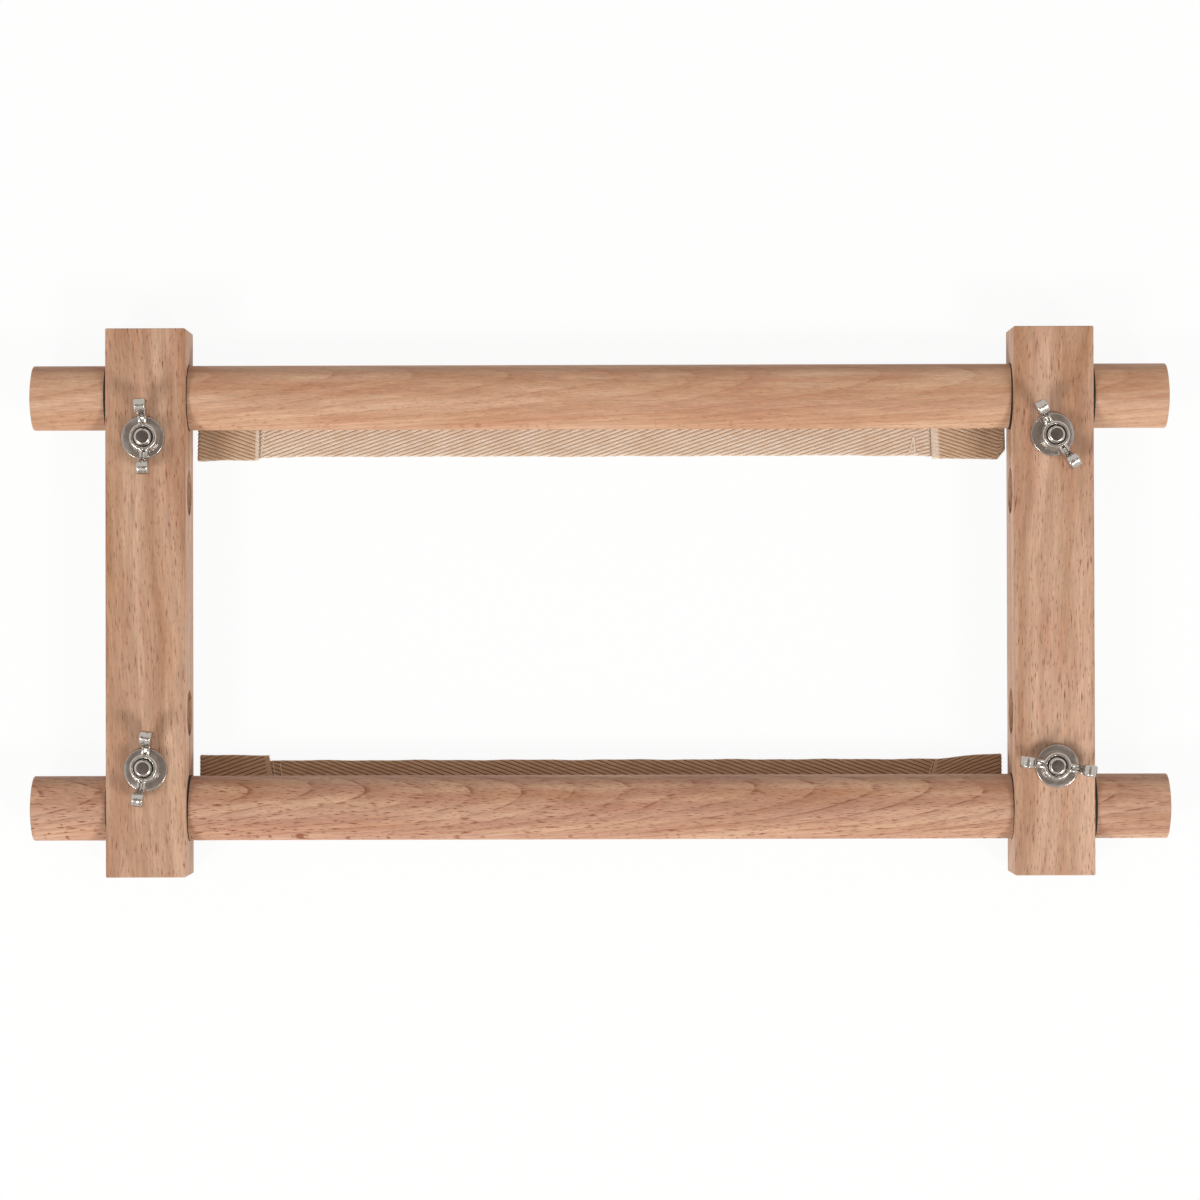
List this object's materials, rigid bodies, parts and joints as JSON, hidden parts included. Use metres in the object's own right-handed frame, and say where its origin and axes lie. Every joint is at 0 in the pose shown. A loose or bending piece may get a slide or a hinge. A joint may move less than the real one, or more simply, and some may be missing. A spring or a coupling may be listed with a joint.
{
  "type": "rotating tapestry frame",
  "caption": "Scroll frame for tapestry: wooden rollers with webbing tapes turn in slotted side arms, clamped by carriage bolts with wing nuts.",
  "frame": {"origin": "on the table under the middle of the frame, which lies on its four bolt heads", "axes": "+X along the rollers, +Y along the arms towards the upper roller, +Z out of the front, where the wing nuts are"},
  "size_m": [0.4236, 0.2026, 0.0493],
  "materials": {
    "arm_beech": "sanded, unvarnished",
    "roller_beech": "sanded, unvarnished",
    "cotton_webbing": "herringbone twill",
    "bolt_steel": "bright plated",
    "washer_steel": "bright plated",
    "nut_steel": "bright plated"
  },
  "bodies": {
    "left_arm": {"left_arm": "arm_beech", "upper_left_bolt": "bolt_steel", "lower_left_bolt": "bolt_steel"},
    "right_arm": {"right_arm": "arm_beech", "upper_right_bolt": "bolt_steel", "lower_right_bolt": "bolt_steel"},
    "upper_roller": {"upper_roller": "roller_beech", "upper_tape": "cotton_webbing"},
    "lower_roller": {"lower_roller": "roller_beech", "lower_tape": "cotton_webbing"},
    "upper_left_washer": {"upper_left_washer": "washer_steel"},
    "upper_left_wing_nut": {"upper_left_wing_nut": "nut_steel"},
    "upper_right_washer": {"upper_right_washer": "washer_steel"},
    "upper_right_wing_nut": {"upper_right_wing_nut": "nut_steel"},
    "lower_left_washer": {"lower_left_washer": "washer_steel"},
    "lower_left_wing_nut": {"lower_left_wing_nut": "nut_steel"},
    "lower_right_washer": {"lower_right_washer": "washer_steel"},
    "lower_right_wing_nut": {"lower_right_wing_nut": "nut_steel"}
  },
  "joints": [
    {"name": "right_arm_slide", "type": "slide", "parent": "left_arm", "child": "right_arm", "axis": [1, 0, 0], "range_m": [-0.0005, 0.027]},
    {"name": "upper_roller_turn", "type": "hinge", "parent": "left_arm", "child": "upper_roller", "pos_m": [0, 0.07625, 0.01825], "axis": [1, 0, 0], "continuous": true},
    {"name": "lower_roller_turn", "type": "hinge", "parent": "left_arm", "child": "lower_roller", "pos_m": [0, -0.07625, 0.01825], "axis": [1, 0, 0], "continuous": true},
    {"name": "upper_left_washer_lift", "type": "slide", "parent": "left_arm", "child": "upper_left_washer", "axis": [0, 0, 1], "range_m": [0, 0.00254]},
    {"name": "upper_left_wing_nut_turn", "type": "hinge", "parent": "upper_left_washer", "child": "upper_left_wing_nut", "pos_m": [-0.1675, 0.06078, 0.0348], "axis": [0, 0, 1], "range_deg": [0, 720]},
    {"name": "upper_right_washer_lift", "type": "slide", "parent": "right_arm", "child": "upper_right_washer", "axis": [0, 0, 1], "range_m": [0, 0.00254]},
    {"name": "upper_right_wing_nut_turn", "type": "hinge", "parent": "upper_right_washer", "child": "upper_right_wing_nut", "pos_m": [0.1675, 0.06078, 0.0348], "axis": [0, 0, 1], "range_deg": [0, 720]},
    {"name": "lower_left_washer_lift", "type": "slide", "parent": "left_arm", "child": "lower_left_washer", "axis": [0, 0, 1], "range_m": [0, 0.00254]},
    {"name": "lower_left_wing_nut_turn", "type": "hinge", "parent": "lower_left_washer", "child": "lower_left_wing_nut", "pos_m": [-0.1675, -0.06078, 0.0348], "axis": [0, 0, 1], "range_deg": [0, 720]},
    {"name": "lower_right_washer_lift", "type": "slide", "parent": "right_arm", "child": "lower_right_washer", "axis": [0, 0, 1], "range_m": [0, 0.00254]},
    {"name": "lower_right_wing_nut_turn", "type": "hinge", "parent": "lower_right_washer", "child": "lower_right_wing_nut", "pos_m": [0.1675, -0.06078, 0.0348], "axis": [0, 0, 1], "range_deg": [0, 720]}
  ],
  "couplings": [
    {"joint": "upper_left_wing_nut_turn", "follows": "upper_left_washer_lift", "rad_per_m": 4947},
    {"joint": "upper_right_wing_nut_turn", "follows": "upper_right_washer_lift", "rad_per_m": 4947},
    {"joint": "lower_left_wing_nut_turn", "follows": "lower_left_washer_lift", "rad_per_m": 4947},
    {"joint": "lower_right_wing_nut_turn", "follows": "lower_right_washer_lift", "rad_per_m": 4947}
  ]
}
